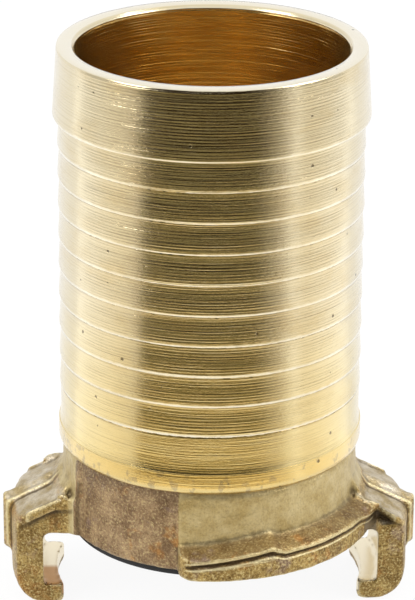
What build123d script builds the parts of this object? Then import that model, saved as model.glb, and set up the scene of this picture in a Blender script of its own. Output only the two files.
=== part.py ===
"""Half of a claw coupling for a fire hose, with a hose tail.

Two halves of this kind are pushed together face to face and locked with a quarter turn: the claws
of each one hook over the inclined ledges of the other, and the two rubber face seals are squeezed
together. The body is one brass forging, turned on its tail and in its claw mouths.

Millimetres. The Z axis is the axis of the water way, +Z points up the hose tail, the claws lie on
the X axis, and Z = 0 is the plane that the two claws stand on.
"""

from build123d import *
from math import cos, radians, sin
import os

os.makedirs("parts", exist_ok=True)

# Claws. The 40 mm between the two lips is the standard spacing of this kind of coupling.
claw_spacing = 40.0
lip_thickness = 2.7
mouth_height = 7.2
mouth_depth = 2.3
leg_thickness = 3.3
claw_width = 12.8
leg_foot_radius = 3.8
lip_edge_radius = 0.9
mouth_corner_radius = 0.8
roof_height_at_neck = 5.0
roof_fall = 0.5
roof_corner_radius = 2.0
roof_edge_thickness = 1.1
roof_overhang = 0.7
roof_edge_setback = 1.0
side_edge_radius = 0.5

# The stiffening rib on each claw.
rib_width = 3.0
rib_height = 1.0
rib_draft = 28.0
rib_corner_radius = 1.1
rib_foot_height = 4.7

# The inclined ledges that the other half's claws hook over. Angles are measured back from the
# middle of the claw that the ledge runs up to.
ledge_width = 2.55
ledge_length_angle = 104.0
ledge_end_flat = 0.15
ledge_start_thickness = 2.5
ledge_rise = 1.5
ledge_crest_angle = 70.0
ledge_step = 0.55
ledge_step_angle = 4.0
ledge_last_rise = 0.1
ledge_top_fall = 1.3

# Forged neck between the ledges and the hose tail.
neck_radius = 18.75
neck_wall = 1.9
throat_land = 0.05
neck_draft = 0.35
neck_height = 10.8
face_step = 0.35
neck_pad_thickness = 0.3
neck_pad_gap = 0.5
neck_pad_past_claw = 27.0
face_edge_radius = 0.7

# Turned hose tail.
bore_radius = 16.85
band_radius = 19.28
band_height = 2.85
band_edge_radius = 0.5
tooth_radius = 19.13
tooth_depth = 0.27
tooth_pitch = 3.94
tooth_count = 9
plain_radius = 18.98
plain_height = 4.85
collar_radius = 19.7
collar_top_radius = 19.1
collar_height = 8.85
rim_edge = 0.2
bore_edge = 0.45

# Rubber face seal and the undercut groove that holds it.
seal_bore_radius = 11.5
seal_flange_radius = 17.9
seal_stand_out = 0.9
seal_edge_radius = 0.3
seal_mouth_radius = 15.2
seal_mouth_depth = 2.0
seal_groove_radius = 16.2
seal_groove_height = 3.0
seal_clearance = 0.1
web_radius = 13.5
web_height = 2.4

# Heights and radii that follow. The throat is the water way inside the neck, under the turned bore.
throat_radius = neck_radius - neck_wall
lip_radius = claw_spacing / 2
mouth_radius = lip_radius + mouth_depth
leg_radius = mouth_radius + leg_thickness
arm_z = lip_thickness + mouth_height
face_z = arm_z + face_step
neck_top_z = face_z + neck_height
band_top_z = neck_top_z + band_height
first_tooth_z = band_top_z + plain_height
collar_z = first_tooth_z + tooth_count * tooth_pitch
top_z = collar_z + collar_height
root_radius = tooth_radius - tooth_depth
groove_z = face_z + seal_mouth_depth
groove_top_z = groove_z + seal_groove_height
web_top_z = groove_top_z + web_height

# How far solids that are joined reach into each other, and how finely the ledge's top is divided.
joining_depth = 1.8
ledge_climb_pieces = 4
ledge_level_pieces = 6
claw_half_angle = 40.0
inner_radius = neck_radius - joining_depth
ledge_radius = neck_radius + ledge_width


def roof_z(radius):
    """Height of a claw's sloping roof at a distance from the axis."""
    return face_z + roof_height_at_neck - roof_fall * (radius - neck_radius)


def outline(points, rounding):
    """Face in the X-Z plane through points, with the corners named in rounding made round."""
    with BuildSketch(Plane.XZ) as sketch:
        with BuildLine():
            Polyline(*points, close=True)
        make_face()
        for corner, radius in rounding:
            picked = sketch.vertices().sort_by_distance((*corner, 0))[0]
            fillet(picked, radius)
    return sketch.sketch


def turned(points, rounding=()):
    """Solid of revolution about Z from an outline in the X-Z plane."""
    return revolve(outline(points, rounding), Axis.Z)


def sector(points, rounding, half_angle):
    """The same outline turned only through half_angle each side of the X axis."""
    return Rot(0, 0, -half_angle) * revolve(outline(points, rounding), Axis.Z, 2 * half_angle)


def slab(half_width):
    """Everything within half_width of the X-Z plane, on the +X side."""
    return Pos(leg_radius, 0, 0) * Box(2 * leg_radius, 2 * half_width, 2 * top_z)


def claw():
    """One claw on the +X side: arm, leg and lip, with its roof edges and its rib."""
    roof_corner = (leg_radius, roof_z(leg_radius))
    hook = sector(
        [
            (inner_radius, face_z),
            (neck_radius, face_z),
            (neck_radius, arm_z),
            (mouth_radius, arm_z),
            (mouth_radius, lip_thickness),
            (lip_radius, lip_thickness),
            (lip_radius, 0),
            (leg_radius, 0),
            roof_corner,
            (inner_radius, roof_z(inner_radius)),
        ],
        [
            ((mouth_radius, arm_z), mouth_corner_radius),
            ((lip_radius, 0), lip_edge_radius),
            ((leg_radius, 0), leg_foot_radius),
            (roof_corner, roof_corner_radius),
        ],
        claw_half_angle,
    )
    hook = hook & slab(claw_width / 2)
    side_edges = hook.faces().filter_by(Axis.Y).edges()
    outer_edges = [edge for edge in side_edges if edge.center().Z < arm_z and edge_is_outside(edge)]
    hook = fillet(outer_edges, side_edge_radius)

    roof_end = leg_radius - roof_edge_setback
    roof_edges = sector(
        [
            (inner_radius, roof_z(inner_radius) - roof_edge_thickness),
            (roof_end, roof_z(roof_end) - roof_edge_thickness),
            (roof_end, roof_z(roof_end)),
            (inner_radius, roof_z(inner_radius)),
        ],
        [((roof_end, roof_z(roof_end)), roof_edge_thickness / 2)],
        claw_half_angle,
    )
    roof_edges = roof_edges & slab(claw_width / 2 + roof_overhang)
    return hook + roof_edges + rib()


def edge_is_outside(edge):
    """True for an edge on a claw's outer wall or foot, away from the turned mouth."""
    middle = edge.center()
    distance = (middle.X**2 + middle.Y**2) ** 0.5
    return distance > leg_radius - leg_thickness / 2 or middle.Z < lip_thickness / 2


def rib():
    """The rib along the roof of the claw and down the outside of its leg."""
    rib_radius = leg_radius + rib_height
    crest = (rib_radius, roof_z(leg_radius) + rib_height / 2)
    root_z = roof_z(inner_radius) + rib_height
    section = outline(
        [
            (inner_radius, root_z),
            crest,
            (rib_radius, rib_foot_height + rib_height),
            (leg_radius, rib_foot_height),
            (leg_radius - leg_thickness / 2, rib_foot_height),
            (leg_radius - leg_thickness / 2, roof_z(leg_radius) - roof_corner_radius),
            (inner_radius, root_z - leg_thickness),
        ],
        [(crest, rib_corner_radius)],
    )
    return extrude(section, rib_width / 2, both=True, taper=rib_draft)


def ledge_top_z(angle):
    """Height of the ledge's outer top edge at an angle back from the middle of its claw."""
    crest = face_z + ledge_start_thickness + ledge_rise
    if angle >= ledge_crest_angle:
        climbed = (ledge_length_angle - angle) / (ledge_length_angle - ledge_crest_angle)
        return face_z + ledge_start_thickness + ledge_rise * climbed
    if angle >= ledge_crest_angle - ledge_step_angle:
        return crest - ledge_step * (ledge_crest_angle - angle) / ledge_step_angle
    climbed = 1 - angle / (ledge_crest_angle - ledge_step_angle)
    return crest - ledge_step + ledge_last_rise * climbed


def ring_part(outer_radius, end_radius=0):
    """Plan of the wall that runs clockwise, seen from above, into the claw on the +X side."""
    start = -ledge_length_angle
    with BuildSketch() as plan:
        with BuildLine():
            outer = CenterArc((0, 0), outer_radius, start, ledge_length_angle)
            inner = CenterArc((0, 0), inner_radius, start, ledge_length_angle)
            Line(outer @ 0, inner @ 0)
            Line(outer @ 1, inner @ 1)
        make_face()
        if end_radius:
            fillet(plan.vertices().sort_by_distance(outer @ 0)[0], end_radius)
    return plan.sketch


def even_steps(first, last, count):
    """Angles from first to last in even steps."""
    return [first + (last - first) * step / count for step in range(count + 1)]


def ledge_tool_section(angle):
    """What lies above the ledge's sloping top, cut by the radial plane at an angle."""
    slope = ledge_top_fall / ledge_width
    edge_z = ledge_top_z(angle)
    high_z = face_z + neck_height + band_height
    tool_inner = inner_radius - joining_depth
    corners = [
        (tool_inner, edge_z + slope * (ledge_radius - tool_inner)),
        (leg_radius, edge_z + slope * (ledge_radius - leg_radius)),
        (leg_radius, high_z),
        (tool_inner, high_z),
    ]
    turn = radians(-angle)
    return Wire.make_polygon([Vector(r * cos(turn), r * sin(turn), z) for r, z in corners])


def ledge():
    """The ledge that the other half's claw hooks over, with its climbing, sloping top."""
    blank = Pos(0, 0, face_z) * extrude(ring_part(ledge_radius, ledge_width - ledge_end_flat), neck_height)
    climb = even_steps(ledge_length_angle + ledge_step_angle, ledge_crest_angle, ledge_climb_pieces)
    level = even_steps(ledge_crest_angle - ledge_step_angle, 0, ledge_level_pieces)
    sections = [ledge_tool_section(angle) for angle in climb + level]
    return blank - Solid.make_loft(sections, ruled=True)


def neck_pad():
    """The slightly thicker wall of the neck above a ledge, which ends just past its claw."""
    low_z = face_z + ledge_start_thickness / 2
    high_z = neck_top_z - neck_pad_gap
    wall = sector(
        [
            (inner_radius, low_z),
            (neck_radius + neck_pad_thickness, low_z),
            (neck_radius + neck_pad_thickness - neck_draft, high_z),
            (inner_radius, high_z),
        ],
        [],
        (ledge_length_angle + neck_pad_past_claw) / 2,
    )
    return Rot(0, 0, (neck_pad_past_claw - ledge_length_angle) / 2) * wall


def tail_outline():
    """Outer outline of the neck and the turned hose tail, from the face up to the rim."""
    points = [
        (neck_radius, face_z),
        (neck_radius - neck_draft, neck_top_z),
        (band_radius, neck_top_z),
        (band_radius, band_top_z),
        (plain_radius, band_top_z),
        (plain_radius, first_tooth_z),
        (tooth_radius, first_tooth_z),
    ]
    for tooth in range(1, tooth_count):
        edge_z = first_tooth_z + tooth * tooth_pitch
        points += [(root_radius, edge_z), (tooth_radius, edge_z)]
    points += [
        (root_radius, collar_z),
        (collar_radius, collar_z),
        (collar_top_radius, top_z - rim_edge),
        (collar_top_radius - rim_edge, top_z),
    ]
    return points


def coupling_body():
    """The brass forging with its turned tail, its water way and the groove for the seal."""
    points = tail_outline()
    rounding = [((neck_radius, face_z), face_edge_radius), ((band_radius, neck_top_z), band_edge_radius)]
    body = turned([(0, face_z), *points, (0, top_z)], rounding)
    half_turn = Rot(0, 0, 180)
    for piece in (ledge(), neck_pad(), claw()):
        body = body + piece + half_turn * piece
    water_way = turned(
        [
            (0, face_z - joining_depth),
            (seal_mouth_radius, face_z - joining_depth),
            (seal_mouth_radius, groove_z),
            (seal_groove_radius, groove_z),
            (seal_groove_radius, groove_top_z),
            (web_radius, groove_top_z),
            (web_radius, web_top_z),
            (throat_radius, neck_top_z - throat_land),
            (bore_radius, band_top_z),
            (bore_radius, top_z - bore_edge),
            (bore_radius + 2 * bore_edge, top_z + bore_edge),
            (0, top_z + bore_edge),
        ]
    )
    return body - water_way


def face_seal():
    """The rubber ring: a flange under the face, and a bead held in the groove above it."""
    low_z = face_z - seal_stand_out
    bead_radius = seal_groove_radius - seal_clearance
    stem_radius = seal_mouth_radius - seal_clearance
    bead_z = groove_z + seal_clearance
    bead_top_z = groove_top_z - seal_clearance
    return turned(
        [
            (seal_bore_radius, low_z),
            (seal_flange_radius, low_z),
            (seal_flange_radius, face_z),
            (stem_radius, face_z),
            (stem_radius, bead_z),
            (bead_radius, bead_z),
            (bead_radius, bead_top_z),
            (seal_bore_radius, bead_top_z),
        ],
        [((seal_flange_radius, low_z), seal_edge_radius), ((seal_bore_radius, low_z), seal_edge_radius)],
    )


export_step(coupling_body(), "parts/coupling_body.step")
export_step(face_seal(), "parts/face_seal.step")
print("overall height", top_z, "mm, across the ribs", 2 * (leg_radius + rib_height), "mm")
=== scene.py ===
# %% [markdown]
# # Half of a claw coupling for a fire hose
# The real object is one brass forging with a turned hose tail, and one rubber ring in its face. The
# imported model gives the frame: every piece below is made in metres, in the same place as its CAD solid.
# The forging is shown by two pieces, because its two halves were made in two ways: the tail was turned
# on a lathe, and the head with its claws was pressed hot in a die and then shot blasted.

# %% Load the frame
import math

import bmesh
import bpy
import numpy as np
from mathutils import Matrix, Vector
from mathutils import noise as hill


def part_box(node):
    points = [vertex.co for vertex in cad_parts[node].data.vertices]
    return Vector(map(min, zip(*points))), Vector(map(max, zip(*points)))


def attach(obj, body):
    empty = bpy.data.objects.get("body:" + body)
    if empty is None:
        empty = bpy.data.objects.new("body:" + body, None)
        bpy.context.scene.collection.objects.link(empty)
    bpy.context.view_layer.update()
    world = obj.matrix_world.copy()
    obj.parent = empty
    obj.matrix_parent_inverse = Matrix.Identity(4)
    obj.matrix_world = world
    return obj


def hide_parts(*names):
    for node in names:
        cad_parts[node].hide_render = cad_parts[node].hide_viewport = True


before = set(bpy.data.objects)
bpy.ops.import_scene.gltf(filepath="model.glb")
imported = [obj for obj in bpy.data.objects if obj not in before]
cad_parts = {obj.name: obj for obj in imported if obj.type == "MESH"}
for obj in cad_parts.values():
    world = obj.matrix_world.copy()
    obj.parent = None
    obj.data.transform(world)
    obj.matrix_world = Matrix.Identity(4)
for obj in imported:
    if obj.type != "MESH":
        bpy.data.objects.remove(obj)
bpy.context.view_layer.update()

MM = 0.001

# %% [markdown]
# ## Two small helpers
# Colours are written as sRGB hex, as they are read from a colour chart, and one function turns them into
# the linear values that Blender's shaders work with. Node trees are built with one function that adds a
# node, sets it, links it and gives back its outputs. Three kinds of node come up all the time and get
# short names: Math, Map Range and Mix.


# %% Helpers
def linear(code, alpha=1.0):
    """Linear colour from an sRGB hex code."""
    parts = [int(code[i : i + 2], 16) / 255 for i in (1, 3, 5)]
    return tuple(c / 12.92 if c <= 0.04045 else ((c + 0.055) / 1.055) ** 2.4 for c in parts) + (alpha,)


def add(tree, kind, inputs=(), **settings):
    """Add a node and return its outputs.

    inputs holds the values of the sockets in their order, or maps a socket's name or number to its
    value. A value that is another node's output is linked.
    """
    node = tree.nodes.new(kind)
    for name, value in settings.items():
        setattr(node, name, value)
    for name, value in inputs.items() if isinstance(inputs, dict) else enumerate(inputs):
        socket = node.inputs[name]
        if isinstance(value, bpy.types.NodeSocket):
            tree.links.new(value, socket)
        else:
            socket.default_value = value
    return node.outputs


MATH, RANGE, MIX = "ShaderNodeMath", "ShaderNodeMapRange", "ShaderNodeMix"
print("brass in linear light:", [round(c, 3) for c in linear("#e3cd96")])

# %% [markdown]
# ## Camera
# A long lens from a little above, so that the rim of the bore shows as a narrow ellipse.

# %% Camera
LENS_MM = 181.5
CAMERA_AT = Vector((-15.47, -354.31, 180.31)) * MM
LOOK_AT = Vector((0, 0, 39.30)) * MM
ROLL_DEGREES = 0.41
SHIFT_X = -0.00505

camera_data = bpy.data.cameras.new("camera")
camera_data.lens = LENS_MM
camera_data.sensor_width = 36
camera_data.shift_x = SHIFT_X
camera_data.clip_start = 0.01
camera = bpy.data.objects.new("camera", camera_data)
bpy.context.scene.collection.objects.link(camera)
aim = (LOOK_AT - CAMERA_AT).to_track_quat("-Z", "Y").to_matrix().to_4x4()
roll = Matrix.Rotation(math.radians(ROLL_DEGREES), 4, "Z")
camera.matrix_world = Matrix.Translation(CAMERA_AT) @ aim @ roll
bpy.context.scene.camera = camera
print("camera", round((CAMERA_AT - LOOK_AT).length, 3), "m away")

# %% [markdown]
# ## Stage and light
# Brass shows what is round it, so the stage is most of its look. White all round gives the pale sides.
# A brown board lies on the floor in front and rises behind the camera: it gives the brown band down the
# middle of the tail, and the dark line over each step. It is seen in the metal only, and the floor
# round the object stays white.


# %% Stage helpers
def new_material(name):
    """Empty node material and its tree."""
    material = bpy.data.materials.new(name)
    material.use_nodes = True
    material.node_tree.nodes.clear()
    return material, material.node_tree


def fill_ramp(ramp, stops):
    """Set the stops of a colour ramp from (position, colour code) pairs."""
    first, last = ramp.elements
    first.position, last.position = stops[0][0], stops[-1][0]
    first.color, last.color = linear(stops[0][1]), linear(stops[-1][1])
    for position, code in stops[1:-1]:
        ramp.elements.new(position).color = linear(code)


def staged(name, mesh, material):
    """Object of the stage from a mesh."""
    mesh.materials.append(material)
    thing = bpy.data.objects.new(name, mesh)
    bpy.context.scene.collection.objects.link(thing)
    return thing


# %% Floor
FLOOR_GLOW = 0.92
FLOOR_HALF = 4
floor_paint, tree = new_material("white floor paint")
rays = add(tree, "ShaderNodeLightPath")
seen = rays["Is Camera Ray"]
for ray in ("Is Glossy Ray", "Is Transmission Ray"):
    seen = add(tree, MATH, (seen, rays[ray]), operation="MAXIMUM")[0]
share = add(tree, MATH, (seen, FLOOR_GLOW), operation="MULTIPLY")[0]
paint = add(tree, "ShaderNodeBsdfDiffuse", {"Color": linear("#fcfcfc")})[0]
glow = add(tree, "ShaderNodeEmission", {"Color": linear("#ffffff"), "Strength": 1.0})[0]
surface = add(tree, "ShaderNodeMixShader", (share, paint, glow))[0]
add(tree, "ShaderNodeOutputMaterial", {"Surface": surface})
floor_mesh = bpy.data.meshes.new("floor")
floor_corners = [(FLOOR_HALF * x, FLOOR_HALF * y, 0) for x, y in ((-1, -1), (1, -1), (1, 1), (-1, 1))]
floor_mesh.from_pydata(floor_corners, [], [(0, 1, 2, 3)])
staged("floor", floor_mesh, floor_paint)
print("floor ready")

# %% [markdown]
# The board is a fan, 230 degrees wide. Its colour follows two measures: how far a point lies from the
# object's axis, and in which direction. The far ramp is the brown of the middle, and the two spans say
# over which degrees the brown and a narrow white strip reach.

# %% Colours of the board
BOARD_HALF_ANGLE = 115
BOARD_NEAR, BOARD_FAR = 0.045, 0.345
BROWN = [
    (0.0, "#f0e6cc"), (0.083, "#cdb683"), (0.117, "#a08c5e"), (0.14, "#62583a"), (0.313, "#6f643c"),
    (0.385, "#7b7048"), (0.45, "#a89f7c"), (0.533, "#76705a"), (0.637, "#625b40"), (0.723, "#5b543e"),
    (0.817, "#3a3222"), (1.0, "#2a2216"),
]
SIDES = [(0.0, "#cfc6b4"), (0.3, "#e4dccb"), (1.0, "#ffffff")]
DARK_SPAN = [
    (-115, "#000000"), (-55, "#000000"), (-52, "#ffffff"), (34, "#ffffff"), (38, "#d0d0d0"),
    (47, "#b4b4b4"), (51, "#000000"), (115, "#000000"),
]
LIGHT_SPAN = [
    (-115, "#000000"), (53, "#000000"), (56, "#ffffff"), (61, "#ffffff"), (65, "#000000"), (115, "#000000"),
]
board_paint, tree = new_material("brown board")
place = add(tree, "ShaderNodeTexCoord")["Object"]
reach = add(tree, "ShaderNodeVectorMath", (place,), operation="LENGTH")["Value"]
split = add(tree, "ShaderNodeSeparateXYZ", (place,))
forwards = add(tree, MATH, (split["Y"], -1.0), operation="MULTIPLY")[0]
turn = add(tree, MATH, (split["X"], forwards), operation="ARCTAN2")[0]
turn = add(tree, MATH, (turn, 180 / math.pi), operation="MULTIPLY")[0]
turn_size = add(tree, MATH, (turn,), operation="ABSOLUTE")[0]
aside = add(tree, RANGE, (turn_size, 54, 112))[0]

front = add(tree, "ShaderNodeValToRGB", (add(tree, RANGE, (reach, BOARD_NEAR, BOARD_FAR))[0],))[0]
fill_ramp(front.node.color_ramp, BROWN)
sides = add(tree, "ShaderNodeValToRGB", (aside,))[0]
fill_ramp(sides.node.color_ramp, SIDES)
spans = []
for span in (DARK_SPAN, LIGHT_SPAN):
    along = add(tree, RANGE, (turn, -BOARD_HALF_ANGLE, BOARD_HALF_ANGLE))[0]
    spans.append(add(tree, "ShaderNodeValToRGB", (along,))[0])
    stops = [((degrees + BOARD_HALF_ANGLE) / (2 * BOARD_HALF_ANGLE), code) for degrees, code in span]
    fill_ramp(spans[-1].node.color_ramp, stops)
is_front, is_light = spans

fade = add(tree, RANGE, (reach, 0.11, 0.3, 1.0, 0.72))[0]
far_fade = add(tree, RANGE, (reach, 0.262, 0.285, 1.0, 0.8))[0]
no_fade = add(tree, RANGE, (aside, 0.6, 1.0))[0]
fade = add(tree, MATH, (fade, far_fade), operation="MULTIPLY")[0]
fade = add(tree, MATH, (fade, no_fade), operation="MAXIMUM")[0]
sides = add(tree, "ShaderNodeVectorMath", {0: sides, "Scale": fade}, operation="SCALE")[0]
strip = add(tree, MATH, (is_light, 0.6), operation="MULTIPLY")[0]
sides = add(tree, MIX, {0: strip, 6: sides, 7: linear("#ffffff")}, data_type="RGBA")[2]
colour = add(tree, MIX, {0: is_front, 6: sides, 7: front}, data_type="RGBA")[2]
surface = add(tree, "ShaderNodeBsdfDiffuse", {"Color": colour})[0]
add(tree, "ShaderNodeOutputMaterial", {"Surface": surface})
print("board paint has", len(tree.nodes), "nodes")

# %% Board in front
BOARD_END, BOARD_LOW, BOARD_TOP = 0.9, 0.0004, 0.75
BOARD_ROWS = [(BOARD_NEAR, BOARD_LOW), (BOARD_END, BOARD_LOW), (BOARD_END, BOARD_TOP)]
COLUMNS = 48
corners = []
for radius, height in BOARD_ROWS:
    for column in range(COLUMNS + 1):
        angle = math.radians(-90 - BOARD_HALF_ANGLE + 2 * BOARD_HALF_ANGLE * column / COLUMNS)
        corners.append((radius * math.cos(angle), radius * math.sin(angle), height))
faces = []
for row in range(len(BOARD_ROWS) - 1):
    for column in range(COLUMNS):
        a = row * (COLUMNS + 1) + column
        faces.append((a, a + COLUMNS + 1, a + COLUMNS + 2, a + 1))
board_mesh = bpy.data.meshes.new("front_board")
board_mesh.from_pydata(corners, [], faces)
board = staged("front_board", board_mesh, board_paint)
board.visible_camera = board.visible_diffuse = board.visible_shadow = False
print("board corners", len(corners))

# %% Light
LAMP_SIZE, LAMP_WATTS = 0.35, 2.2
LAMPS_LOOK_AT = Vector((0, 0, 0.03))
world = bpy.data.worlds.new("white surroundings")
world.use_nodes = True
world.node_tree.nodes["Background"].inputs["Color"].default_value = (1, 1, 1, 1)
world.node_tree.nodes["Background"].inputs["Strength"].default_value = 1.0
bpy.context.scene.world = world
for name, at in (("soft_box_left", (-0.55, -0.25, 0.45)), ("soft_box_right", (0.55, -0.15, 0.5))):
    lamp = bpy.data.lights.new(name, "AREA")
    lamp.shape = "RECTANGLE"
    lamp.size = lamp.size_y = LAMP_SIZE
    lamp.energy = LAMP_WATTS
    thing = bpy.data.objects.new(name, lamp)
    bpy.context.scene.collection.objects.link(thing)
    facing = (LAMPS_LOOK_AT - Vector(at)).to_track_quat("-Z", "Y").to_matrix().to_4x4()
    thing.matrix_world = Matrix.Translation(at) @ facing
bpy.context.scene.view_settings.view_transform = "Standard"
print("stage and lamps ready")

# %% [markdown]
# ## The turned tail
# The tail was cut on a lathe: a smooth band that stops the hose, nine shallow saw teeth that grip it, and
# a collar with the rim. A lathe turns a profile, so the profile is drawn once as a line of points, and
# a Geometry Nodes tree turns it round the axis. The saw teeth follow a rule, so the tree cuts them: the
# radius falls along each pitch and springs back at the next edge. Real edges have a burr, so a little
# seeded noise moves them.

# %% Sizes of the tail
BORE_RADIUS = 16.85
BAND_LOW, BAND_TOP, BAND_RADIUS = 21.05, 23.90, 19.28
PLAIN_RADIUS = 18.98
TOOTH_RADIUS, TOOTH_DEPTH, TOOTH_PITCH, TOOTH_COUNT = 19.13, 0.27, 3.94, 9
FIRST_TOOTH = 28.75
COLLAR_LOW = FIRST_TOOTH + TOOTH_PITCH * TOOTH_COUNT
COLLAR_HEIGHT = 8.85
TOP = COLLAR_LOW + COLLAR_HEIGHT
COLLAR_RADIUS, COLLAR_TOP_RADIUS = 19.70, 19.10
RIM_EDGE, BORE_EDGE = 0.2, 0.45
# The worn lower lip of a saw tooth: pairs of height over its edge and how far it lies back.
TOOTH_LIP = [(0.001, 0.22), (0.03, 0.15), (0.13, 0.10), (0.26, 0.05), (0.38, 0.015), (0.5, 0)]
ROOT_FILLET = 0.9
# Rows just under an edge lie this much below it, so that the step stays sharp.
STEP_GAP = 0.004


# %% Profile of the tail
def tail_profile():
    """Points (radius, height) in mm, once round the wall of the tail, closed."""
    points = [(BORE_RADIUS, BAND_LOW), (BAND_RADIUS - 1.2, BAND_LOW)]
    for degrees in (0, 15, 30, 45, 60, 75, 90):
        turn = math.radians(degrees)
        points.append((BAND_RADIUS - 0.7 + 0.7 * math.sin(turn), BAND_LOW + 1.1 - 1.1 * math.cos(turn)))
    band = [(0, -1.2), (-0.01, -0.6), (-0.02, -0.2), (-0.04, -0.06)]
    points += [(BAND_RADIUS + out, BAND_TOP + rise) for out, rise in band]
    run_out = [(0.18, -0.03), (0.15, 0.1), (0.08, 0.5), (0.03, 1.0), (0.01, 1.5)]
    points += [(PLAIN_RADIUS + out, BAND_TOP + rise) for out, rise in run_out]
    points += [(PLAIN_RADIUS, z) for z in (26.0, 26.8, 27.6, FIRST_TOOTH - STEP_GAP)]
    for tooth in range(TOOTH_COUNT):
        edge = FIRST_TOOTH + tooth * TOOTH_PITCH
        points += [(TOOTH_RADIUS - back, edge + rise) for rise, back in TOOTH_LIP]
        points += [(TOOTH_RADIUS, edge + rise) for rise in (1.6, 2.9, 3.2, 3.5, 3.75, TOOTH_PITCH - STEP_GAP)]
    slope = (COLLAR_TOP_RADIUS - COLLAR_RADIUS) / COLLAR_HEIGHT
    points += [(TOOTH_RADIUS, COLLAR_LOW)]
    collar_lip = [(0.2, 0.02), (0.1, 0.13), (0.03, 0.28)]
    points += [(COLLAR_RADIUS - back, COLLAR_LOW + rise) for back, rise in collar_lip]
    for rise in (0.5, 1.5, 3.0, 4.5, 6.0, 7.5, 8.3, COLLAR_HEIGHT - 1.3 * RIM_EDGE):
        points.append((COLLAR_RADIUS + slope * rise, COLLAR_LOW + rise))
    points += [(COLLAR_TOP_RADIUS - 0.3 * RIM_EDGE, TOP - 0.4 * RIM_EDGE)]
    points += [(COLLAR_TOP_RADIUS - RIM_EDGE, TOP)]
    points += [(COLLAR_TOP_RADIUS - 0.8, TOP), (BORE_RADIUS + BORE_EDGE + 0.1, TOP)]
    points += [(BORE_RADIUS + BORE_EDGE - 0.03, TOP - 0.05), (BORE_RADIUS + 0.05, TOP - BORE_EDGE + 0.03)]
    points += [(BORE_RADIUS, z) for z in (TOP - BORE_EDGE - 0.1, TOP - 1.2, 60, 50, 40, 30, BAND_LOW)]
    return points


profile = bpy.data.meshes.new("tail_profile")
points = tail_profile()
profile_edges = [(i, i + 1) for i in range(len(points) - 1)]
profile.from_pydata([(radius * MM, 0, z * MM) for radius, z in points], profile_edges, [])
print("profile points", len(points), "top at", round(TOP, 2), "mm")

# %% [markdown]
# The tree lays the profile out as a grid: one row for each of its points, one column for each step of
# the turn. Each grid point reads its profile point, works out how far the saw tooth cuts in there, adds
# the burr if it is near an edge, and goes to its place round the axis.

# %% Turning by Geometry Nodes
WALL_SPLIT = 18 * MM  # between the bore and the outside of the wall
BURR_REACH = 0.5 * MM
FILLET_LIFT = 0.33  # how much of the tooth's depth the root fillet gives back
LATHE_SIZES = (
    "First tooth", "Tooth pitch", "Tooth count", "Tooth depth", "Root fillet", "Burr", "Burr length", "Seed",
)


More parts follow.
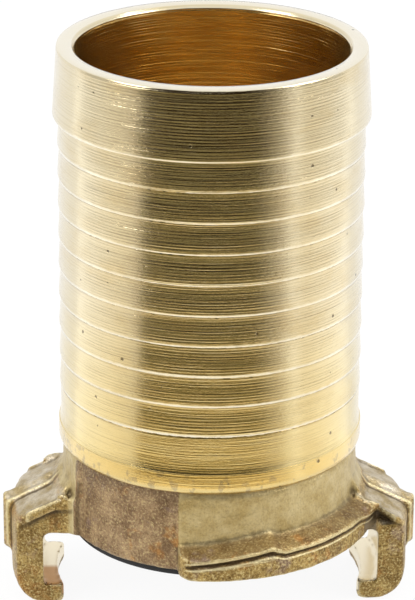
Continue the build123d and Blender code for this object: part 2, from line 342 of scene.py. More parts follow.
def lathe_tree(material):
    """Turns the profile round Z and cuts the saw teeth, with named inputs for their sizes."""
    tree = bpy.data.node_groups.new("turn on lathe", "GeometryNodeTree")
    face = tree.interface
    face.new_socket("Geometry", in_out="INPUT", socket_type="NodeSocketGeometry")
    face.new_socket("Segments", in_out="INPUT", socket_type="NodeSocketInt")
    for name in LATHE_SIZES:
        face.new_socket(name, in_out="INPUT", socket_type="NodeSocketFloat")
    face.new_socket("Geometry", in_out="OUTPUT", socket_type="NodeSocketGeometry")
    given = add(tree, "NodeGroupInput")
    pitch, fillet = given["Tooth pitch"], given["Root fillet"]

    line = {"Geometry": given["Geometry"]}
    rows = add(tree, "GeometryNodeAttributeDomainSize", line, component="MESH")["Point Count"]
    columns = add(tree, MATH, (given["Segments"], 1), operation="ADD")[0]
    grid_size = {"Size X": 1.0, "Size Y": 1.0, "Vertices X": columns, "Vertices Y": rows}
    grid = add(tree, "GeometryNodeMeshGrid", grid_size)["Mesh"]
    here = add(tree, "ShaderNodeSeparateXYZ", (add(tree, "GeometryNodeInputPosition")[0],))
    angle = add(tree, MATH, (here["X"], 0.5), operation="ADD")[0]
    angle = add(tree, MATH, (angle, -2 * math.pi), operation="MULTIPLY")[0]
    last_row = add(tree, MATH, (rows, 1), operation="SUBTRACT")[0]
    row = add(tree, MATH, (here["Y"], 0.5), operation="ADD")[0]
    row = add(tree, MATH, (row, last_row), operation="MULTIPLY")[0]
    row = add(tree, MATH, (row,), operation="ROUND")[0]
    wanted = {**line, "Value": add(tree, "GeometryNodeInputPosition")[0], "Index": row}
    drawn = add(tree, "GeometryNodeSampleIndex", wanted, data_type="FLOAT_VECTOR", domain="POINT")[0]
    drawn = add(tree, "ShaderNodeSeparateXYZ", (drawn,))
    radius, height = drawn["X"], drawn["Z"]

    turns = add(tree, MATH, (height, given["First tooth"]), operation="SUBTRACT")[0]
    turns = add(tree, MATH, (turns, pitch), operation="DIVIDE")[0]
    above_first = add(tree, MATH, (turns, 0), operation="GREATER_THAN")[0]
    below_last = add(tree, MATH, (turns, given["Tooth count"]), operation="LESS_THAN")[0]
    outside = add(tree, MATH, (radius, WALL_SPLIT), operation="GREATER_THAN")[0]
    in_teeth = add(tree, MATH, (above_first, below_last), operation="MULTIPLY")[0]
    in_teeth = add(tree, MATH, (in_teeth, outside), operation="MULTIPLY")[0]

    along = add(tree, MATH, (turns,), operation="FRACT")[0]
    run = add(tree, MATH, (along, pitch), operation="MULTIPLY")[0]
    in_fillet = add(tree, MATH, (run, fillet), operation="ADD")[0]
    in_fillet = add(tree, MATH, (in_fillet, pitch), operation="SUBTRACT")[0]
    in_fillet = add(tree, MATH, (in_fillet, fillet), operation="DIVIDE")[0]
    in_fillet = add(tree, MATH, (in_fillet, 0), operation="MAXIMUM")[0]
    in_fillet = add(tree, MATH, (in_fillet, 2), operation="POWER")[0]
    lift = add(tree, MATH, (in_fillet, FILLET_LIFT), operation="MULTIPLY")[0]
    cut = add(tree, MATH, (along, lift), operation="SUBTRACT")[0]
    cut = add(tree, MATH, (cut, given["Tooth depth"]), operation="MULTIPLY")[0]
    cut = add(tree, MATH, (in_teeth, cut), operation="MULTIPLY")[0]
    near_edge = add(tree, MATH, (run, BURR_REACH), operation="DIVIDE")[0]
    near_edge = add(tree, MATH, (1, near_edge), operation="SUBTRACT")[0]
    near_edge = add(tree, MATH, (near_edge, 0), operation="MAXIMUM")[0]
    near_edge = add(tree, MATH, (in_teeth, near_edge), operation="MULTIPLY")[0]

    side = [add(tree, MATH, (angle,), operation=wave)[0] for wave in ("COSINE", "SINE")]
    smooth = [add(tree, MATH, (part, radius), operation="MULTIPLY")[0] for part in side]
    smooth = add(tree, "ShaderNodeCombineXYZ", (*smooth, height))[0]
    grain = add(tree, MATH, (1, given["Burr length"]), operation="DIVIDE")[0]
    noise_inputs = {"Vector": smooth, "W": given["Seed"], "Scale": grain, "Detail": 3.0}
    burr = add(tree, "ShaderNodeTexNoise", noise_inputs, noise_dimensions="4D")[0]
    burr = add(tree, MATH, (burr, 0.5), operation="SUBTRACT")[0]
    burr_size = add(tree, MATH, (near_edge, given["Burr"]), operation="MULTIPLY")[0]
    burr = add(tree, MATH, (burr, burr_size), operation="MULTIPLY")[0]
    radius = add(tree, MATH, (radius, cut), operation="SUBTRACT")[0]
    radius = add(tree, MATH, (radius, burr), operation="ADD")[0]
    height = add(tree, MATH, (height, burr), operation="ADD")[0]
    target = [add(tree, MATH, (part, radius), operation="MULTIPLY")[0] for part in side]
    target = add(tree, "ShaderNodeCombineXYZ", (*target, height))[0]

    placed = add(tree, "GeometryNodeSetPosition", {"Geometry": grid, "Position": target})[0]
    closed = add(tree, "GeometryNodeMergeByDistance", {"Geometry": placed, "Distance": 1e-6})[0]
    real = add(tree, "GeometryNodeRealizeInstances", {"Geometry": closed})[0]
    coated = add(tree, "GeometryNodeSetMaterial", {"Geometry": real, "Material": material})[0]
    add(tree, "NodeGroupOutput", {"Geometry": coated})
    return tree


turned_brass, turned_tree = new_material("turned brass")
turning = lathe_tree(turned_brass)
print("lathe tree has", len(turning.nodes), "nodes")


# %% Turn the tail
def from_nodes(name, source, tree, values):
    """Plain mesh object made by a Geometry Nodes tree from a source mesh."""
    carrier = bpy.data.objects.new(name + "_source", source)
    bpy.context.scene.collection.objects.link(carrier)
    modifier = carrier.modifiers.new("nodes", "NODES")
    modifier.node_group = tree
    for item in tree.interface.items_tree:
        if item.in_out == "INPUT" and item.name in values:
            modifier[item.identifier] = values[item.name]
    bpy.context.view_layer.update()
    mesh = bpy.data.meshes.new_from_object(carrier.evaluated_get(bpy.context.evaluated_depsgraph_get()))
    carrier.modifiers.remove(modifier)
    bpy.data.objects.remove(carrier)
    mesh.name = name
    thing = bpy.data.objects.new(name, mesh)
    bpy.context.scene.collection.objects.link(thing)
    return thing


def smooth_with_sharp(mesh, degrees):
    """Smooth shading that breaks at edges sharper than an angle."""
    mesh.shade_smooth()
    mesh.set_sharp_from_angle(angle=math.radians(degrees))


tail = from_nodes("hose_tail", profile, turning, {
    "Segments": 560,
    "First tooth": FIRST_TOOTH * MM, "Tooth pitch": TOOTH_PITCH * MM, "Tooth count": float(TOOTH_COUNT),
    "Tooth depth": TOOTH_DEPTH * MM, "Root fillet": ROOT_FILLET * MM,
    "Burr": 0.16 * MM, "Burr length": 0.7 * MM, "Seed": 4.0,
})
bm = bmesh.new()
bm.from_mesh(tail.data)
bmesh.ops.recalc_face_normals(bm, faces=bm.faces)
bm.to_mesh(tail.data)
volume = round(bm.calc_volume(signed=True) / MM**3)
print("tail", volume, "mm3, open edges", sum(e.is_boundary for e in bm.edges), "faces", len(bm.faces))
bm.free()
smooth_with_sharp(tail.data, 42)

# %% [markdown]
# ## Finish of the turned brass
# Turning leaves fine rings about a third of a millimetre apart. They blur what the metal shows up and
# down but not sideways, so the finish is a bright metal with a bump that is long round the axis and
# short along it. Where the tool chattered, short scratches cross the rings. The lips of the teeth are worn
# and get a painted highlight, with painted shade just under each, the top of the rim gets a painted pale
# reflection, small casting pits show here and there, and the bore keeps a warm oxide. All of these
# follow from a point's height and its distance from the axis.


# %% Places on the tail
def noise_at(tree, place, scale_xyz, detail=3.0, roughness=0.55):
    """Noise whose grain is stretched: the three numbers are 1 / grain size, per metre."""
    stretched = add(tree, "ShaderNodeVectorMath", (place, scale_xyz), operation="MULTIPLY")[0]
    sockets = {"Vector": stretched, "Scale": 1.0, "Detail": detail, "Roughness": roughness}
    return add(tree, "ShaderNodeTexNoise", sockets)[0]


tree = turned_tree
place = add(tree, "ShaderNodeTexCoord")["Object"]
split = add(tree, "ShaderNodeSeparateXYZ", (place,))
height = split["Z"]
off_axis = add(tree, "ShaderNodeCombineXYZ", (split["X"], split["Y"]))[0]
off_axis = add(tree, "ShaderNodeVectorMath", (off_axis,), operation="LENGTH")["Value"]
outside = add(tree, RANGE, (off_axis, 17.5 * MM, 17.6 * MM))[0]
inside = add(tree, MATH, (1.0, outside), operation="SUBTRACT")[0]
warmth = add(tree, RANGE, (height, 44 * MM, 24 * MM))[0]
# The top face of the rim is painted pale: a painted reflection of the bright light above.
painted_rim_reflection = add(tree, RANGE, (height, (TOP - 0.12) * MM, (TOP - 0.04) * MM))[0]
under_rim = add(tree, RANGE, (height, (TOP - 0.45) * MM, (TOP - 0.75) * MM))[0]
oxide = add(tree, MATH, (inside, under_rim), operation="MULTIPLY")[0]
in_band = add(tree, RANGE, (height, BAND_TOP * MM, (BAND_TOP - 0.2) * MM))[0]
in_band = add(tree, MATH, (in_band, outside), operation="MULTIPLY")[0]

along = add(tree, MATH, (height, FIRST_TOOTH * MM), operation="SUBTRACT")[0]
along = add(tree, MATH, (along, TOOTH_PITCH * MM), operation="DIVIDE")[0]
above_first = add(tree, MATH, (along, -0.05), operation="GREATER_THAN")[0]
below_last = add(tree, MATH, (along, TOOTH_COUNT + 0.2), operation="LESS_THAN")[0]
in_teeth = add(tree, MATH, (above_first, outside), operation="MULTIPLY")[0]
in_teeth = add(tree, MATH, (in_teeth, below_last), operation="MULTIPLY")[0]
along = add(tree, MATH, (along,), operation="FRACT")[0]
print("places on the tail:", len(tree.nodes), "nodes")

# %% Marks on the tail
RING_PITCH = 0.37 * MM
wander = noise_at(tree, place, (90, 90, 500), 1.0)
wave = add(tree, MATH, (height, 2 * math.pi / RING_PITCH, wander), operation="MULTIPLY_ADD")[0]
wave = add(tree, MATH, (wave,), operation="SINE")[0]
wave_depth = add(tree, RANGE, (height, 24 * MM, 33 * MM, 0.04, 0.11))[0]
# Finer rings, under a tenth of a millimetre, wouldn't show: they are drawn as noise of a sixth of one.
fine_rings = noise_at(tree, place, (60, 60, 6000), 2.0, 0.6)
rings = add(tree, MATH, (wave, wave_depth, fine_rings), operation="MULTIPLY_ADD")[0]
broad_rings = noise_at(tree, place, (40, 40, 1900), 2.0)
chatter = noise_at(tree, place, (1500, 1500, 5200), 3.0, 0.65)
patches = noise_at(tree, place, (110, 110, 160), 2.0)
mottle = noise_at(tree, place, (160, 160, 260), 4.0)
spots = noise_at(tree, place, (900, 900, 700), 2.0)
ragged = noise_at(tree, place, (750, 750, 900), 3.0, 0.7)

# The tooth lips are painted bright: partly wear, partly a painted highlight on the edge.
above_edge = add(tree, MATH, (along, -0.08), operation="ADD")[0]
ragged = add(tree, MATH, (ragged, 0.16, above_edge), operation="MULTIPLY_ADD")[0]
ragged = add(tree, RANGE, (ragged, 0.13, 0.06))[0]
worn_lip_highlight = add(tree, MATH, (ragged, in_teeth), operation="MULTIPLY")[0]
# Painted shade just under each tooth's lip, where the lip above overhangs.
under_lip_shade = add(tree, RANGE, (along, 0.94, 1.0))[0]
under_lip_shade = add(tree, MATH, (under_lip_shade, in_teeth), operation="MULTIPLY")[0]

pit_cells = add(tree, "ShaderNodeTexVoronoi", {"Vector": place, "Scale": 620.0, "Randomness": 1.0})
pit_pick = add(tree, "ShaderNodeSeparateColor", (pit_cells["Color"],))[0]
pit_size = add(tree, RANGE, (pit_pick, 0.8, 1.0, 0.02, 0.17))[0]
pits = add(tree, MATH, (pit_size, pit_cells["Distance"]), operation="SUBTRACT")[0]
pits = add(tree, RANGE, (pits, 0.0, 0.025))[0]
near_lip = [add(tree, RANGE, (along, *span))[0] for span in ((0.8, 0.88), (0.22, 0.14))]
near_lip = add(tree, MATH, near_lip, operation="MAXIMUM")[0]
near_lip = add(tree, MATH, (near_lip, in_teeth), operation="MULTIPLY")[0]
off_lip = add(tree, MATH, (1.0, near_lip), operation="SUBTRACT")[0]
off_lip = add(tree, MATH, (outside, off_lip), operation="MULTIPLY")[0]
pits = add(tree, MATH, (pits, off_lip), operation="MULTIPLY")[0]
print("with its marks:", len(tree.nodes), "nodes")

# %% Turned brass
dull = add(tree, RANGE, (mottle, 0.5, 0.75, 0, 0.45))[0]
ring_shade = add(tree, RANGE, (rings, 0.5, 0.34, 0, 0.16))[0]
spots = add(tree, RANGE, (spots, 0.56, 0.64, 0, 0.5))[0]
colour = add(tree, MIX, {0: warmth, 6: linear("#e3d6b4"), 7: linear("#ead79c")}, data_type="RGBA")[2]
# In this table the tooth lips get a painted highlight, the strip under them painted shade, and the top of the
# rim a painted reflection.
for share, strength, code in (
    (dull, 1, "#d6bd84"), (ring_shade, 1, "#a58a55"), (in_band, 1, "#ead08a"), (in_band, spots, "#a4957a"),
    (under_lip_shade, 0.35, "#8d7444"), (worn_lip_highlight, 0.75, "#fbf4de"), (oxide, 1, "#efcd84"), (painted_rim_reflection, 0.7, "#f6efdc"),
    (pits, 0.8, "#4f3d1e"),
):
    share = add(tree, MATH, (share, strength), operation="MULTIPLY")[0]
    colour = add(tree, MIX, {0: share, 6: colour, 7: linear(code)}, data_type="RGBA")[2]

chatter_share = add(tree, RANGE, (patches, 0.38, 0.62, 0.1, 0.42))[0]
relief = add(tree, MATH, (chatter_share, chatter), operation="MULTIPLY")[0]
relief = add(tree, MATH, (relief, outside), operation="MULTIPLY")[0]
for pattern, depth in ((rings, 0.6), (broad_rings, 0.4), (pits, -0.3)):
    relief = add(tree, MATH, (pattern, depth, relief), operation="MULTIPLY_ADD")[0]
bump = add(tree, "ShaderNodeBump", {"Height": relief, "Strength": 0.8, "Distance": 0.1 * MM})[0]
roughness = add(tree, RANGE, (mottle, 0.3, 0.8, 0.15, 0.26))[0]
metal = {"Base Color": colour, "Metallic": 1.0, "Roughness": roughness, "Normal": bump}
oil_film = {"Coat Weight": 0.8, "Coat Roughness": 0.2}
surface = add(tree, "ShaderNodeBsdfPrincipled", {**metal, **oil_film})[0]
add(tree, "ShaderNodeOutputMaterial", {"Surface": surface})
print("turned brass has", len(tree.nodes), "nodes")

# %% [markdown]
# ## The forged head
# The head came out of a die: its edges are soft, its corners are filled, and shot blasting has pitted
# it all over. The CAD solid has the right sizes with sharp edges, so the piece starts from a merged
# copy of it. A voxel remesh gives an even skin, smoothing rounds it like hot metal in a die, with a step
# back after each pass so that it doesn't shrink, and the skin is then pushed in and out by rules for
# the flash line, the groove and the ridges.

# %% Copy and cut the CAD solid
HEAD_TOP = 21.0
TUCK = 0.3  # how far the cut face is raised into the tail's band, so that no gap shows
bm = bmesh.new()
bm.from_mesh(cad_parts["coupling_body"].data)
bmesh.ops.remove_doubles(bm, verts=bm.verts, dist=2e-6)
whole = bm.verts[:] + bm.edges[:] + bm.faces[:]
cut_at, upwards = (0, 0, HEAD_TOP * MM), (0, 0, 1)
bmesh.ops.bisect_plane(bm, geom=whole, plane_co=cut_at, plane_no=upwards, clear_outer=True)
bmesh.ops.holes_fill(bm, edges=[e for e in bm.edges if e.is_boundary], sides=0)
for vertex in bm.verts:
    if vertex.co.z > (HEAD_TOP - 0.001) * MM:
        vertex.co.z = (HEAD_TOP + TUCK) * MM
print("head open edges", sum(e.is_boundary for e in bm.edges))

# %% [markdown]
# In a die, a narrow corner between two walls comes out filled. Three convex lumps fill such corners at
# each claw: between the ledge and the claw, beside the claw, and where its roof meets the neck.


# %% Filled corners
def polar(radius, degrees, z):
    """Point in mm at a radius and an azimuth."""
    turn = math.radians(degrees)
    return radius * math.cos(turn), radius * math.sin(turn), z


LEDGE_FILL = [
    polar(17.4, -42, 15.0), polar(20.9, -37, 13.2), (16.0, -6.3, 15.7), (21.6, -6.3, 14.2),
    polar(17.4, -42, 11.5), polar(20.9, -37, 11.5), (16.0, -6.0, 11.0), (21.6, -6.0, 11.0),
]
SIDE_FILL = []
for z in (10.3, 15.2):
    SIDE_FILL += [(17.0, 5.8, z), (19.7, 6.35, z), polar(18.85, 25.5, z), polar(17.2, 24.0, z)]
ROOF_FILL = []
for azimuth in (-18.5, 0, 18.5):
    section = ((17.2, 12.5), (20.9, 14.0), (18.45, 17.9), (17.2, 17.9))
    ROOF_FILL += [polar(radius, azimuth, z) for radius, z in section]
for side in (1, -1):
    for fill in (LEDGE_FILL, SIDE_FILL, ROOF_FILL):
        lump = [bm.verts.new(Vector((side * x, side * y, z)) * MM) for x, y, z in fill]
        bmesh.ops.convex_hull(bm, input=lump)
rough = bpy.data.meshes.new("head_rough")
bm.to_mesh(rough)
bm.free()
print("rough head", len(rough.vertices), "points")

# %% Even skin
VOXEL = 0.29
head = bpy.data.objects.new("forged_head", rough)
bpy.context.scene.collection.objects.link(head)
remesh = head.modifiers.new("skin", "REMESH")
remesh.mode = "VOXEL"
remesh.voxel_size = VOXEL * MM
bpy.context.view_layer.update()
skin = bpy.data.meshes.new_from_object(head.evaluated_get(bpy.context.evaluated_depsgraph_get()))
head.modifiers.remove(remesh)
head.data = skin
skin.name = "forged_head"
print("skin", len(skin.vertices), "points", len(skin.polygons), "faces")


# %% Reading and writing a mesh as arrays
def read(mesh):
    """Points of a mesh in mm, and its edges."""
    points = np.empty(len(mesh.vertices) * 3)
    mesh.vertices.foreach_get("co", points)
    edges = np.empty(len(mesh.edges) * 2, dtype=np.int64)
    mesh.edges.foreach_get("vertices", edges)
    return points.reshape(-1, 3) / MM, edges.reshape(-1, 2)


def write(mesh, points):
    """Give a mesh new points, in mm."""
    mesh.vertices.foreach_set("co", (points * MM).astype(np.float32).ravel())
    mesh.update()


def normals(mesh):
    """Directions in which a mesh faces at its points."""
    out = np.empty(len(mesh.vertices) * 3, dtype=np.float32)
    mesh.vertex_normals.foreach_get("vector", out)
    return out.reshape(-1, 3).astype(float)


def neighbours_mean(values, edges):
    """Mean of each point's neighbours."""
    total = np.zeros_like(values)
    count = np.zeros(len(values))
    for a, b in ((0, 1), (1, 0)):
        np.add.at(total, edges[:, a], values[edges[:, b]])
        np.add.at(count, edges[:, a], 1)
    return total / np.maximum(count, 1).reshape((-1,) + (1,) * (values.ndim - 1))


def claw_frame(points):
    """Points turned into the frame of the claw and ledge they belong to, with that claw on +X."""
    azimuth = np.degrees(np.arctan2(points[:, 1], points[:, 0]))
    own = (azimuth > -130) & (azimuth <= 50)
    turned = points.copy()
    turned[~own, :2] *= -1
    return turned, own


def ramp_up(value, low, high):
    """0 below low, 1 above high, smooth between."""
    share = np.clip((value - low) / (high - low), 0, 1)
    return share * share * (3 - 2 * share)


def bell(value, width):
    """1 where value is 0, falling smoothly to almost 0 at twice the width."""
    return np.exp(-((value / width) ** 2))


# %% Smooth the skin
# The turned faces stay smooth: the mouths of the claws, and the seat of the seal.
MOUTH_HALF, MOUTH_BACK, MOUTH_TOP, LIP_TOP = 6.25, 22.6, 10.0, 1.2
SEAT_RADIUS, SEAT_TOP = 18.2, 10.7

points, edges = read(skin)
unit, own = claw_frame(points)
distance = np.hypot(points[:, 0], points[:, 1])
in_mouth = (np.abs(unit[:, 1]) < MOUTH_HALF) & (unit[:, 0] > 17) & (distance < MOUTH_BACK)
machined = in_mouth & (points[:, 2] < MOUTH_TOP) & (points[:, 2] > LIP_TOP)
machined |= (points[:, 2] < SEAT_TOP) & (distance < SEAT_RADIUS)
for share in (0.5, -0.35, 0.5, -0.35, 0.5, -0.2):
    points += share * (neighbours_mean(points, edges) - points)
write(skin, points)
print("machined points", int(machined.sum()))

# %% [markdown]
# The rules for the skin work in the frame of one claw, and the other claw gets the same by half a turn.
# A ridge of flash runs along both edges of each roof, a groove runs under the outer edge of the ledge
# and widens to the ledge's step, and the whole skin has slight dents from the shot. The die halves were
# a little out of line, so one claw sits higher. One front corner has a torn hollow with a lip over it.

# %% Sizes of the skin's features
FACE_Z, NECK_RADIUS, LEDGE_RADIUS = 10.25, 18.75, 21.3
LEDGE_START, LEDGE_FOOT, PAD_END = -104, -20, 23.6  # azimuths in degrees
CLIMB = [(0, 3.6), (66, 3.5), (70, 4.0), (104, 2.5)]  # the ledge's height over the face, by azimuth
# Half the height of the groove, by azimuth.
GROOVE = [(22, 0), (40, 0.2), (66, 0.22), (69, 0.25), (71, 0.42), (80, 0.38), (97, 0.25), (100, 0.12)]
GROOVE += [(102, 0)]
GROOVE_DROP = 0.85
ROOF_START, ROOF_AT_NECK, ROOF_FALL = 18.3, 5.0, 0.5
RIDGE_AT, RIDGE_HALF, RIDGE_HEIGHT = 6.85, 0.28, 0.32
RIB_FOOT, RIB_EDGE_AT, RIB_EDGE_HALF, RIB_EDGE_HEIGHT = 5.2, 1.35, 0.25, 0.14
TORN_X, TORN_Z, TORN_HALF_LENGTH, TORN_HALF_WIDTH, TORN_DEPTH = 22.0, 12.1, 1.7, 0.8, 1.2
TORN_ALONG, TORN_ACROSS = (0.8, -0.6), (0.6, 0.8)
TORN_LIP_AT, TORN_LIP_HALF, TORN_LIP_HEIGHT = 1.4, 0.45, 0.45
BACK_SWELL, LIP_BACK = 0.28, 0.3
DIE_OFFSET = 0.45

# %% Shape the skin
unit, own = claw_frame(points)
normal = normals(skin)
turned_normal = normal.copy()
turned_normal[~own, :2] *= -1
x, y, z = unit.T
distance = np.hypot(x, y)
azimuth = np.degrees(np.arctan2(y, x))
outward = np.stack([x / distance, y / distance, np.zeros(len(unit))], axis=1)
shift = np.zeros_like(points)

climb = np.interp(-azimuth, *zip(*CLIMB)) + FACE_Z
on_outer = ramp_up(distance, LEDGE_RADIUS - 0.5, LEDGE_RADIUS - 0.25)
on_outer *= (azimuth > LEDGE_START) & (azimuth < LEDGE_FOOT)
groove_half = np.interp(-azimuth, *zip(*GROOVE))
below_groove = z - (climb - GROOVE_DROP)
groove = on_outer * bell(below_groove, np.maximum(groove_half, 0.05)) * np.minimum(groove_half / 0.2, 1)
shift -= outward * (groove * np.interp(groove_half, [0.15, 0.4], [0.3, 0.6]))[:, None]

faces_up = ramp_up(turned_normal[:, 2], 0.3, 0.7)
on_roof = (z > 10.5) * (x > ROOF_START) * (np.abs(y) < 7.5)
shift[:, 2] += RIDGE_HEIGHT * bell(np.abs(y) - RIDGE_AT, RIDGE_HALF) * faces_up * on_roof
on_rib = ramp_up(distance, 19.2, 19.8) * ramp_up(x, 17.5, ROOF_START) * (z > RIB_FOOT)
rib_edge = bell(np.abs(y) - RIB_EDGE_AT, RIB_EDGE_HALF) * on_rib
shift += turned_normal * (RIB_EDGE_HEIGHT * rib_edge)[:, None]

torn_along = TORN_ALONG[0] * (x - TORN_X) + TORN_ALONG[1] * (z - TORN_Z)
torn_across = TORN_ACROSS[0] * (x - TORN_X) + TORN_ACROSS[1] * (z - TORN_Z)
front = ramp_up(-y, 5.2, 5.9) * own * (y < 0)
torn_reach = np.exp(-((torn_along / TORN_HALF_LENGTH) ** 4))
torn = torn_reach * bell(torn_across, TORN_HALF_WIDTH)
torn_lip = torn_reach * bell(torn_across - TORN_LIP_AT, TORN_LIP_HALF)
shift[:, 1] += front * (TORN_DEPTH * torn - TORN_LIP_HEIGHT * torn_lip)

claw_back = BACK_SWELL * ramp_up(distance, 25.6, 26.1)
claw_lip = LIP_BACK * ramp_up(distance, 20.9, 20.4) * (z < 2.9)
shift += outward * (claw_back - claw_lip)[:, None]
shift[~own, :2] *= -1
off_centre = np.abs(points[:, 0])
on_claw = ramp_up(z, 10, 12) * ramp_up(off_centre, 18.2, 20.2)
shift[:, 2] -= np.sign(points[:, 0]) * DIE_OFFSET * on_claw
print("largest shift", round(float(np.abs(shift).max()), 2), "mm")


# %% Dents from the shot
def dents(points, size, seed):
    """Smooth noise between -1 and 1 with a grain size in mm."""
    away = Vector((seed * 7.3, seed * 3.1, seed * 5.7))
    return np.array([hill.noise(Vector(p) / size + away) for p in points])


bumpiness = 0.05 * dents(points, 1.9, 1) + 0.04 * dents(points, 0.8, 2)
forged = 1 - 0.9 * machined
points += shift + normal * (forged * bumpiness)[:, None]
lowest, highest = (np.array(corner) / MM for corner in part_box("coupling_body"))
points = np.clip(points, lowest, highest)
write(skin, points)
print("skin from", points.min(0).round(2), "to", points.max(0).round(2))

# %% [markdown]
# The finish changes from place to place: rubbed edges with a painted highlight, dark hollows with painted
# shade, the smooth neck, the pad beside its brown gap. Each of these is a mask, one number stored at every
# point. A border is stored as a distance instead, with 0.5 on the border, so that the material can cut a
# line there that is sharper than the mesh.

# %% Masks for the finish
BORDER_SPAN = 3  # mm between the stored values 0 and 1


def border(distance_mm):
    """Distance from a border, stored with 0.5 on it."""
    return 0.5 + distance_mm / BORDER_SPAN


soft = points
for _ in range(3):
    soft = soft + 0.6 * (neighbours_mean(soft, edges) - soft)
new_normal = normals(skin)
bulge = ((points - soft) * new_normal).sum(1)
sharpest = np.percentile(bulge[~machined], 98)
on_neck = ramp_up(distance, 19.75, 19.45) * ramp_up(z, 10.3, 10.6)
mm_per_degree = 19 * math.pi / 180
pad_edge = np.minimum(azimuth - LEDGE_START, PAD_END - azimuth) * mm_per_degree
faces_up = ramp_up(new_normal[:, 2], 0.35, 0.75)
half_up = ramp_up(new_normal[:, 2], 0.15, 0.4)
faces_aside = ramp_up(np.abs(turned_normal[:, 1]), 0.5, 0.8)
on_claw = ramp_up(distance, 18.9, 19.4) * ramp_up(x, 17.5, ROOF_START) * (z > 10.8) * (np.abs(y) < 7.6)
on_ledge = (azimuth > LEDGE_START - 1) * (azimuth < LEDGE_FOOT) * ramp_up(distance, 18.9, 19.25) * (z > 11)
roof_z = FACE_Z + ROOF_AT_NECK - ROOF_FALL * (distance - NECK_RADIUS)
# The smooth face between the ledge's end and the leg; the material also gives it a darker grey as painted
# shade.
smooth_shaded_side = ramp_up(x, 19.1, 19.5) * ramp_up(x, 21.5, 21.1) * (y < -5) * (y > -9)
smooth_shaded_side *= ramp_up(z, 13.4, 12.9) * (z > 9.8)
MASKS = {
    "edge": bulge / sharpest,
    "hollow": -bulge / sharpest,
    "machined": machined.astype(float),
    "neck": on_neck,
    "pad": border(pad_edge),
    "corner_side": on_neck * ramp_up(z, 18.4, 17.8) * (azimuth > 15) * (azimuth < 36),
    "roof": faces_up * on_claw,
    "ledge_top": half_up * on_ledge,
    "groove_line": border(below_groove),
    "groove_side": on_outer,
    "eaves_line": border(z - roof_z + 1.35),
    "eaves_side": (np.abs(y) > 5.9) * (x > 17.6) * (x < 24.4) * faces_aside,
    "rib_line": border(np.abs(y) - 1.4),
    "rib_side": on_rib * (np.abs(y) < 2.6),
    "torn": front * torn,
    "smooth_shaded_side": smooth_shaded_side * own,
}
for name, values in MASKS.items():
    stored_values = skin.attributes.new(name, "FLOAT", "POINT").data
    stored_values.foreach_set("value", np.clip(values, 0, 1).astype(np.float32))
smooth_with_sharp(skin, 60)
print(len(MASKS), "masks stored")

# %% [markdown]
# ## Finish of the forged brass
# Shot blasting leaves a grain of about a quarter of a millimetre: each small facet shows another part of
# the room, so the skin sparkles light and dark. Under it lies a thin brown oxide, which makes the metal
# look partly like paint. Raised edges are rubbed and get a painted highlight, hollows get painted shade,
# and the mouths of the claws are cut clean on the lathe.

# %% Places and patterns on the forging
forged_brass, tree = new_material("shot blasted forged brass")
place = add(tree, "ShaderNodeTexCoord")["Object"]
split = add(tree, "ShaderNodeSeparateXYZ", (place,))
stored = {name: add(tree, "ShaderNodeAttribute", attribute_name=name)["Fac"] for name in MASKS}
roof, machined_share = stored["roof"], stored["machined"]
# The grain is drawn a little coarser than the real one, which would be lost.
grain = noise_at(tree, place, (3300, 3300, 3300), 2.0, 0.7)
coarse = noise_at(tree, place, (1400, 1400, 1400), 3.0, 0.6)
stains = noise_at(tree, place, (420, 420, 420), 4.0, 0.6)
patches = noise_at(tree, place, (170, 170, 170), 3.0)
spots = noise_at(tree, place, (230, 230, 230), 3.0, 0.65)
drawn_down = noise_at(tree, place, (2600, 2600, 260), 2.0, 0.6)

on_pad = add(tree, RANGE, (stored["pad"], 0.46, 0.54))[0]
pad = add(tree, MATH, (stored["neck"], on_pad), operation="MULTIPLY")[0]
gap = add(tree, MATH, (stored["neck"], pad), operation="SUBTRACT")[0]
pad_or_roof = add(tree, MATH, (pad, roof), operation="MAXIMUM")[0]
elsewhere = add(tree, MATH, (1.0, pad_or_roof), operation="SUBTRACT")[0]
calm_ledge = add(tree, MATH, (stored["ledge_top"], 0.8), operation="MULTIPLY")[0]
calm = add(tree, MATH, (pad_or_roof, calm_ledge), operation="MAXIMUM")[0]
speckle = add(tree, RANGE, (calm, 0, 1, 1.0, 0.3))[0]
for smooth_place in (machined_share, stored["smooth_shaded_side"]):
    rough_place = add(tree, MATH, (1.0, smooth_place), operation="SUBTRACT")[0]
    speckle = add(tree, MATH, (speckle, rough_place), operation="MULTIPLY")[0]
print("places and patterns:", len(tree.nodes), "nodes")

# %% Tones of the oxide, with painted shade and painted reflections
stain = add(tree, RANGE, (stains, 0.36, 0.64))[0]
tones = {}
for name, dark, light in (
    ("olive", "#876b36", "#b89b5c"), ("grey lilac", "#a8946a", "#d2c7b2"),
    ("brown mauve", "#7b6044", "#b0946f"), ("pale olive", "#ad9865", "#c3b285"),
    ("ledge brown", "#6a4f28", "#927a4c"),
):
    pair = {0: stain, 6: linear(dark), 7: linear(light)}
    tones[name] = add(tree, MIX, pair, data_type="RGBA")[2]
rust = add(tree, RANGE, (patches, 0.56, 0.66, 0, 0.7))[0]
warm_spots = add(tree, RANGE, (spots, 0.58, 0.68, 0, 0.7))[0]
cool_spots = add(tree, RANGE, (spots, 0.42, 0.32, 0, 0.45))[0]
# Painted shade on the wall of the gap, darker towards the tail's band that overhangs it.
shade_under_band = add(tree, RANGE, (split["Z"], 18 * MM, 20.8 * MM, 0, 0.5))[0]
colour = tones["olive"]
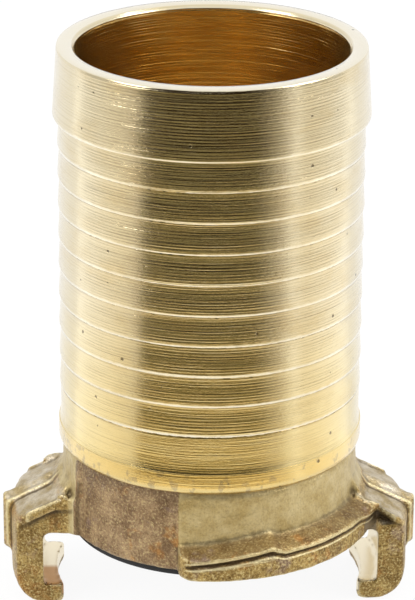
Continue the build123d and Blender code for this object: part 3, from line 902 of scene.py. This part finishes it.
# The pale grey lilac of the upward roof faces and the brown of the ledge's top are partly their own tones and
# partly painted reflections: of the bright light above on the roofs, of the brown neck on the ledge.
for share, strength, tone in (
    (rust, 1, linear("#a97838")), (roof, 1, tones["grey lilac"]), (gap, 1, tones["brown mauve"]),
    (pad, 1, tones["pale olive"]), (stored["ledge_top"], 0.9, tones["ledge brown"]),
    (warm_spots, elsewhere, linear("#b57f3e")), (cool_spots, elsewhere, linear("#998581")),
    (gap, shade_under_band, linear("#5d4a3c")), (stored["smooth_shaded_side"], 1, linear("#77684f")),
):
    share = add(tree, MATH, (share, strength), operation="MULTIPLY")[0]
    colour = add(tree, MIX, {0: share, 6: colour, 7: tone}, data_type="RGBA")[2]
print("with its tones:", len(tree.nodes), "nodes")

# %% Grain, worn edges with a painted highlight, and painted shade in hollows
gap_calm = add(tree, RANGE, (gap, 0, 1, 1.0, 0.6))[0]
grain_share = add(tree, MATH, (speckle, gap_calm), operation="MULTIPLY")[0]
dark_grain = add(tree, RANGE, (grain, 0.48, 0.34, 0, 0.7))[0]
light_grain = add(tree, RANGE, (grain, 0.53, 0.68, 0, 0.7))[0]
# Painted shade in hollows and creases, where the skin curves in.
painted_hollow_shade = add(tree, RANGE, (stored["hollow"], 0.14, 0.8, 0, 0.85))[0]
# Raised edges are painted pale: partly rubbed wear, partly a painted highlight.
edge_wear_and_highlight = add(tree, RANGE, (stored["edge"], 0.6, 1.0, 0, 0.6))[0]
for share, strength, code in (
    (dark_grain, grain_share, "#523c18"), (light_grain, grain_share, "#e0cd92"),
    (painted_hollow_shade, 1, "#4b3a1e"), (edge_wear_and_highlight, 1, "#e9daa8"),
):
    share = add(tree, MATH, (share, strength), operation="MULTIPLY")[0]
    colour = add(tree, MIX, {0: share, 6: colour, 7: linear(code)}, data_type="RGBA")[2]
print("with its grain:", len(tree.nodes), "nodes")

# %% Painted highlights and shade beside the borders
# Each line lies offset mm beside a stored border, fades out at half_width mm, and shows only where its
# side is stored. The pale lines are painted highlights and the dark lines painted shade: in and along the
# groove, at the pad's corner, on the rib's edge and under the eaves of the roof.
for name, side, offset, half_width, strength, code in (
    ("groove_line", "groove_side", 0, 0.26, 0.8, "#43331a"),
    ("groove_line", "groove_side", 0.42, 0.16, 0.6, "#e6d9aa"),
    ("groove_line", "groove_side", -0.42, 0.14, 0.6, "#e6d9aa"),
    ("pad", "corner_side", 0, 0.15, 0.6, "#e6d9aa"),
    ("rib_line", "rib_side", 0, 0.16, 0.6, "#e6d9aa"),
    ("rib_line", "rib_side", 0.5, 0.3, 0.6, "#4c3a1d"),
    ("eaves_line", "eaves_side", 0, 0.45, 0.6, "#4c3a1d"),
    ("pad", "corner_side", -0.8, 0.7, 0.6, "#4c3a1d"),
):
    away = add(tree, MATH, (stored[name], border(offset)), operation="SUBTRACT")[0]
    away = add(tree, MATH, (away,), operation="ABSOLUTE")[0]
    fade_out = half_width / BORDER_SPAN
    share = add(tree, RANGE, (away, fade_out, fade_out / 3))[0]
    for factor in (stored[side], strength):
        share = add(tree, MATH, (share, factor), operation="MULTIPLY")[0]
    colour = add(tree, MIX, {0: share, 6: colour, 7: linear(code)}, data_type="RGBA")[2]
print("with its lines:", len(tree.nodes), "nodes")

# %% Forged brass
# The torn hollow is painted nearly black: painted shade in the hollow under its lip.
torn_hollow_shade = add(tree, MATH, (stored["torn"], 0.85), operation="MULTIPLY")[0]
colour = add(tree, MIX, {0: torn_hollow_shade, 6: colour, 7: linear("#33250f")}, data_type="RGBA")[2]
# The mouths are bare metal, and the near part of the mouth of one claw gets a painted brown shade.
painted_mouth_shade = add(tree, RANGE, (split["Y"], -0.5 * MM, -1.5 * MM, 0, 0.9))[0]
left_claw = add(tree, MATH, (split["X"], 0.0), operation="LESS_THAN")[0]
painted_mouth_shade = add(tree, MATH, (painted_mouth_shade, left_claw), operation="MULTIPLY")[0]
bare = add(tree, MIX, {0: painted_mouth_shade, 6: linear("#f4e8cc"), 7: linear("#b58550")}, data_type="RGBA")[2]
colour = add(tree, MIX, {0: machined_share, 6: colour, 7: bare}, data_type="RGBA")[2]

relief = add(tree, MATH, (coarse, 0.6, grain), operation="MULTIPLY_ADD")[0]
relief = add(tree, MATH, (relief, speckle), operation="MULTIPLY")[0]
draw_depth = add(tree, MATH, (calm, 0.35), operation="MULTIPLY")[0]
relief = add(tree, MATH, (drawn_down, draw_depth, relief), operation="MULTIPLY_ADD")[0]
bump = add(tree, "ShaderNodeBump", {"Height": relief, "Strength": 1.0, "Distance": 0.2 * MM})[0]
bare_metal = add(tree, RANGE, (roof, 0, 1, 0.6, 0.8))[0]
bare_metal = add(tree, MATH, (machined_share, bare_metal), operation="MAXIMUM")[0]
roughness = add(tree, RANGE, (machined_share, 0, 1, 0.38, 0.3))[0]
metal = {"Base Color": colour, "Metallic": bare_metal, "Roughness": roughness, "Normal": bump}
surface = add(tree, "ShaderNodeBsdfPrincipled", metal)[0]
add(tree, "ShaderNodeOutputMaterial", {"Surface": surface})
skin.materials.clear()
skin.materials.append(forged_brass)
print("forged brass has", len(tree.nodes), "nodes")

# %% [markdown]
# ## The face seal
# A plain moulded ring of black rubber. Only its edge shows under the brass, so the CAD solid stays and
# gets its material. Rubber from a mould is matt with a faint grain, so its gloss is broad and weak.

# %% Face seal
seal_rubber, tree = new_material("moulded black rubber")
place = add(tree, "ShaderNodeTexCoord")["Object"]
skin_grain = noise_at(tree, place, (2500, 2500, 2500), 2.0)
bump = add(tree, "ShaderNodeBump", {"Height": skin_grain, "Strength": 0.2, "Distance": 0.03 * MM})[0]
rubber = {"Base Color": linear("#1c1c1e"), "Roughness": 0.55, "Specular IOR Level": 0.4, "Normal": bump}
surface = add(tree, "ShaderNodeBsdfPrincipled", rubber)[0]
add(tree, "ShaderNodeOutputMaterial", {"Surface": surface})
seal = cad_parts["face_seal"]
seal.data.materials.clear()
seal.data.materials.append(seal_rubber)
print("seal rubber has", len(tree.nodes), "nodes")

# %% [markdown]
# ## Onto the body
# Both brass pieces stand for the one CAD solid and ride on the only body.

# %% Finish
for piece in (tail, head):
    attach(piece, "root")
    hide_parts("coupling_body")
